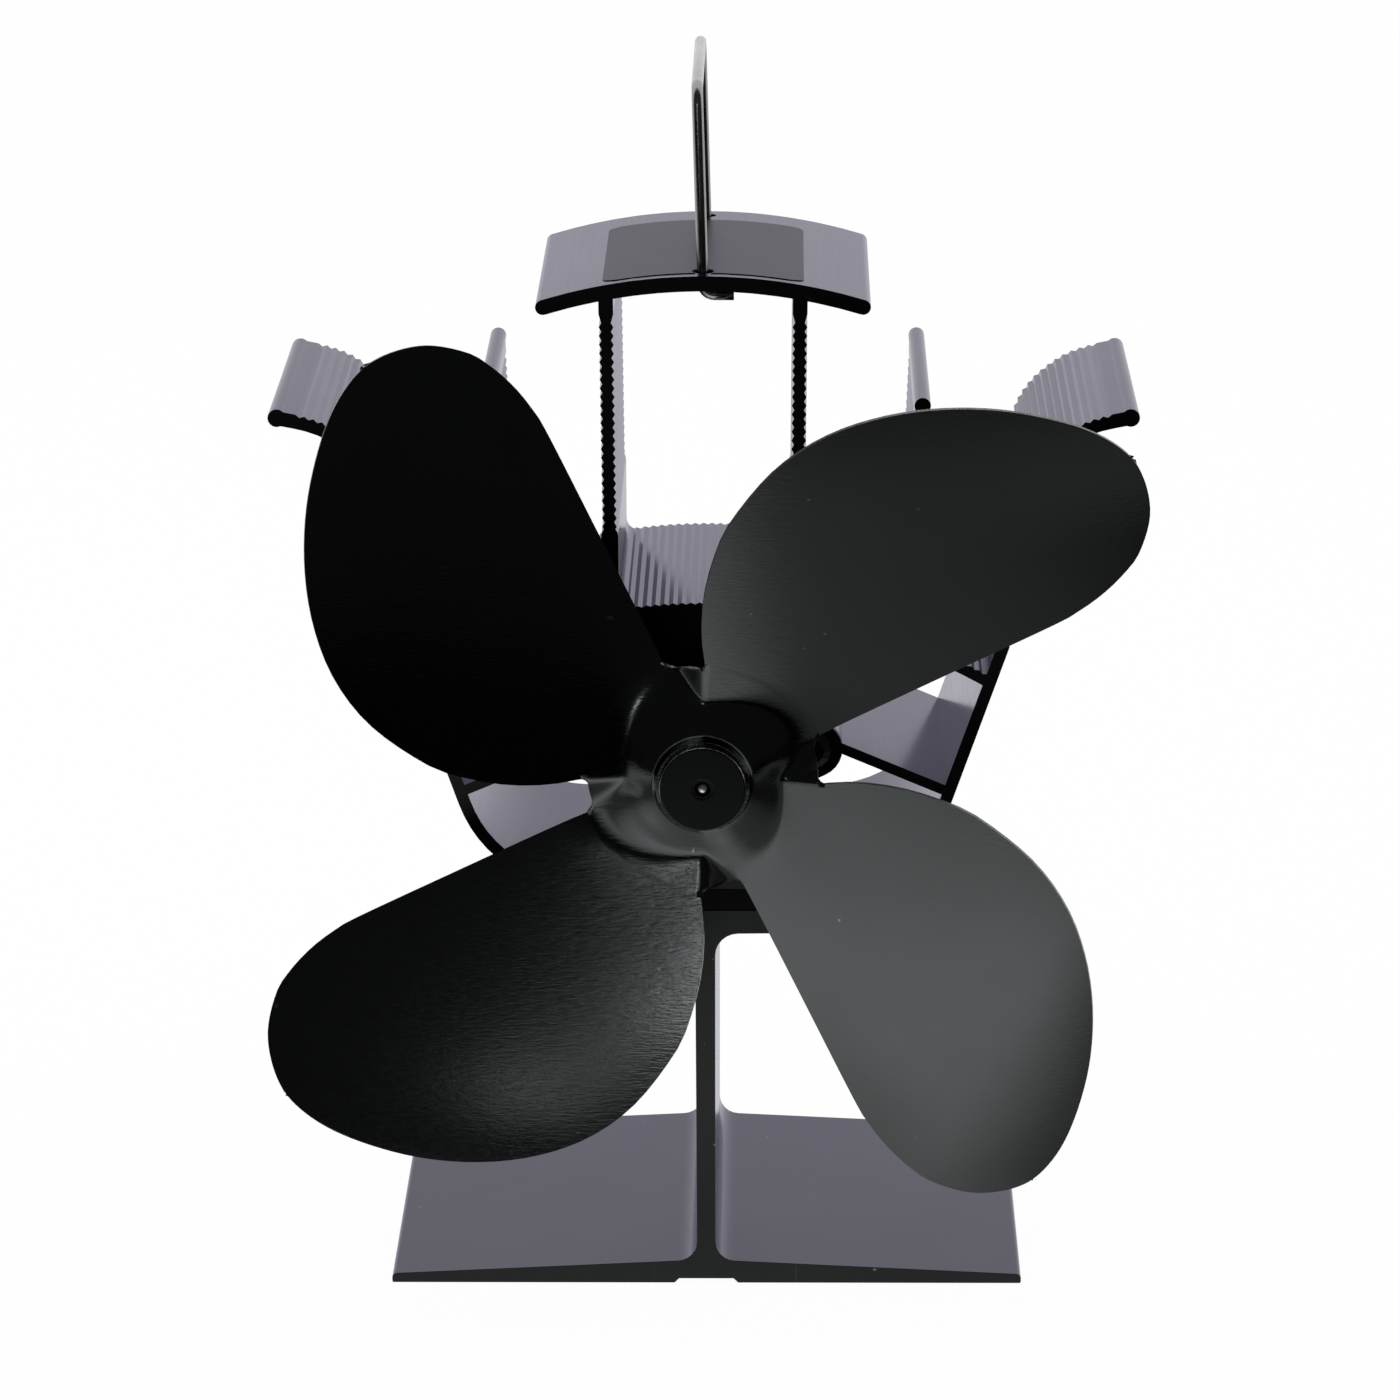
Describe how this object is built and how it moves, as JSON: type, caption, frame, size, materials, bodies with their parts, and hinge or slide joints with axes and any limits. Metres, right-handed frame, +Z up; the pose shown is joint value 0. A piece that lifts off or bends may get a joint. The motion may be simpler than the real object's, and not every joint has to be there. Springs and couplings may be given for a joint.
{
  "type": "stove fan",
  "caption": "Heat-powered fan that stands on a stove: a T-foot carries a thermoelectric module and a finned heat sink, whose motor turns a pressed blade wheel, with a wire handle on top.",
  "frame": {"origin": "on the stove's top, at the middle of the fan's overall width and depth", "axes": "+Z up, the height; +Y to the back, the blades face -Y; +X to the right as seen from the front"},
  "size_m": [0.1494, 0.1044, 0.2135],
  "materials": {
    "black_anodised": "black anodised extrusion, satin",
    "blade_black": "black anodised sheet, finely brushed",
    "hub_black": "black anodised, turned",
    "steel": "stainless, bright",
    "motor_zinc": "zinc plated",
    "brass": "plain",
    "ceramic_white": "ground alumina",
    "module_grey": "matte",
    "graphite": "graphite foil, matte",
    "insulation_black": "heat-proof insulating board, matte",
    "black_plastic": "moulded, matte",
    "magnet_dark": "sintered ferrite, matte",
    "bimetal": "rolled bimetal, plain",
    "red_sleeve": "silicone sleeve",
    "black_sleeve": "silicone sleeve"
  },
  "bodies": {
    "stand": {"base_foot": "black_anodised", "heat_sink": "black_anodised", "hot_side_pad": "graphite", "module_hot_plate": "ceramic_white", "module_core": "module_grey", "module_cold_plate": "ceramic_white", "cold_side_pad": "graphite", "insulation_frame": "insulation_black", "clamp_screw_1": "steel", "clamp_screw_2": "steel", "clamp_screw_3": "steel", "clamp_screw_4": "steel", "spring_washer_1": "steel", "spring_washer_2": "steel", "spring_washer_3": "steel", "spring_washer_4": "steel", "insulating_bush_1": "insulation_black", "insulating_bush_2": "insulation_black", "insulating_bush_3": "insulation_black", "insulating_bush_4": "insulation_black", "bimetal_strip": "bimetal", "bimetal_screw": "steel", "motor_can": "motor_zinc", "front_bush": "brass", "magnet_left": "magnet_dark", "magnet_right": "magnet_dark", "motor_end_cap": "black_plastic", "rear_bush": "brass", "terminal_red_side": "brass", "terminal_black_side": "brass", "motor_clamp_plate": "hub_black", "ear_screw_1": "hub_black", "ear_screw_2": "hub_black", "motor_screw_1": "steel", "motor_screw_2": "steel", "lead_red": "red_sleeve", "lead_black": "black_sleeve"},
    "rotor": {"blade_wheel": "blade_black", "nose_sleeve": "hub_black", "hub_nut": "brass", "motor_shaft": "steel", "armature_core": "steel", "commutator": "brass"},
    "carrying_handle": {"handle": "steel"}
  },
  "joints": [
    {"name": "rotor_spin", "type": "hinge", "parent": "stand", "child": "rotor", "pos_m": [0, -0.0238, 0.0986], "axis": [0, -1, 0], "continuous": true},
    {"name": "handle_tilt", "type": "hinge", "parent": "stand", "child": "carrying_handle", "pos_m": [0, 0.00335, 0.1798], "axis": [0, 1, 0], "range_deg": [0, 15]}
  ]
}
